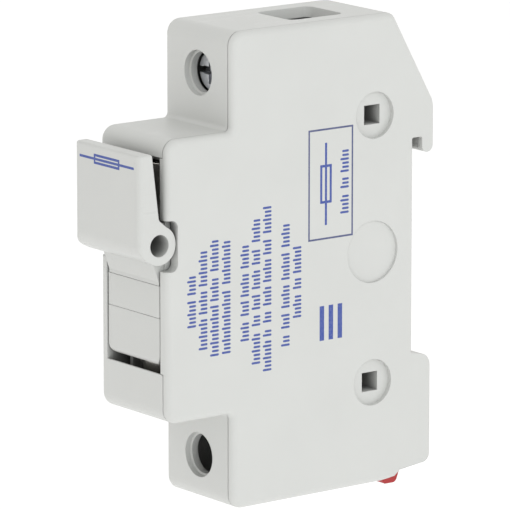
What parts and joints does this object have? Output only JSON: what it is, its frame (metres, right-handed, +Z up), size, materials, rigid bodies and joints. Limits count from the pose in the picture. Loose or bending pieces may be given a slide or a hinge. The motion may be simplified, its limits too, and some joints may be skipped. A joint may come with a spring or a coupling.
{
  "type": "fuse holder",
  "caption": "Modular DIN-rail fuse holder with a cartridge fuse inside, a hinged pull-out carrier, screw terminals and a sprung rail clip.",
  "frame": {"origin": "centre of the rail seat: mid-width of the module, on the plane that lies against the 35 mm rail, at the rail's mid-height", "axes": "+X across the module towards the cover shell, +Y towards the rail, the front faces -Y, +Z up"},
  "size_m": [0.0178, 0.0575, 0.0776],
  "materials": {
    "housing_plastic": "fine satin moulded light grey",
    "carrier_plastic": "fine satin moulded light grey",
    "handle_plastic": "fine satin moulded light grey",
    "clip_plastic": "satin moulded red",
    "spring_steel": "drawn spring steel",
    "tinned_copper": "tin plated copper strip",
    "zinc_steel": "bright zinc plate",
    "screw_steel": "bright zinc plate",
    "cap_nickel": "nickel plate",
    "fuse_body": "unglazed white ceramic",
    "element_silver": "silver strip",
    "quartz_sand": "compacted quartz sand",
    "solder_tin": "solder"
  },
  "bodies": {
    "housing": {"housing_tub": "housing_plastic", "housing_cover": "housing_plastic", "contact_upper": "tinned_copper", "contact_lower": "tinned_copper", "contact_spring_upper": "spring_steel", "contact_spring_lower": "spring_steel", "clamp_cage_upper": "zinc_steel", "clamp_cage_lower": "zinc_steel", "clip_spring": "spring_steel"},
    "carrier": {"fuse_carrier": "carrier_plastic", "pull_handle": "handle_plastic", "indicator_blank": "carrier_plastic", "fuse_tube": "fuse_body", "fuse_cap_upper": "cap_nickel", "fuse_cap_lower": "cap_nickel", "fuse_element": "element_silver", "fuse_filler": "quartz_sand", "fuse_solder": "solder_tin"},
    "upper_pad": {"clamp_pad_upper": "zinc_steel"},
    "upper_screw": {"terminal_screw_upper": "screw_steel"},
    "lower_pad": {"clamp_pad_lower": "zinc_steel"},
    "lower_screw": {"terminal_screw_lower": "screw_steel"},
    "rail_clip": {"din_clip": "clip_plastic"}
  },
  "joints": [
    {"name": "carrier_hinge", "type": "hinge", "parent": "housing", "child": "carrier", "pos_m": [0, -0.0456, -0.0118], "axis": [1, 0, 0], "range_deg": [0, 90]},
    {"name": "upper_clamp_feed", "type": "slide", "parent": "housing", "child": "upper_pad", "axis": [0, 1, 0], "range_m": [0, 0.0056]},
    {"name": "upper_screw_turn", "type": "hinge", "parent": "upper_pad", "child": "upper_screw", "pos_m": [0, -0.03, 0.03065], "axis": [0, 1, 0], "range_deg": [0, 2520]},
    {"name": "lower_clamp_feed", "type": "slide", "parent": "housing", "child": "lower_pad", "axis": [0, 1, 0], "range_m": [-0.0048, 0.0008]},
    {"name": "lower_screw_turn", "type": "hinge", "parent": "lower_pad", "child": "lower_screw", "pos_m": [0, -0.026, -0.03065], "axis": [0, 1, 0], "range_deg": [-2160, 360]},
    {"name": "rail_clip_slide", "type": "slide", "parent": "housing", "child": "rail_clip", "axis": [0, 0, -1], "range_m": [0, 0.0028], "stiffness_N_per_m": 800, "springref_m": -0.002, "deforming": ["clip_spring"]}
  ],
  "couplings": [
    {"joint": "upper_screw_turn", "follows": "upper_clamp_feed", "rad_per_m": 7854},
    {"joint": "lower_screw_turn", "follows": "lower_clamp_feed", "rad_per_m": 7854}
  ]
}
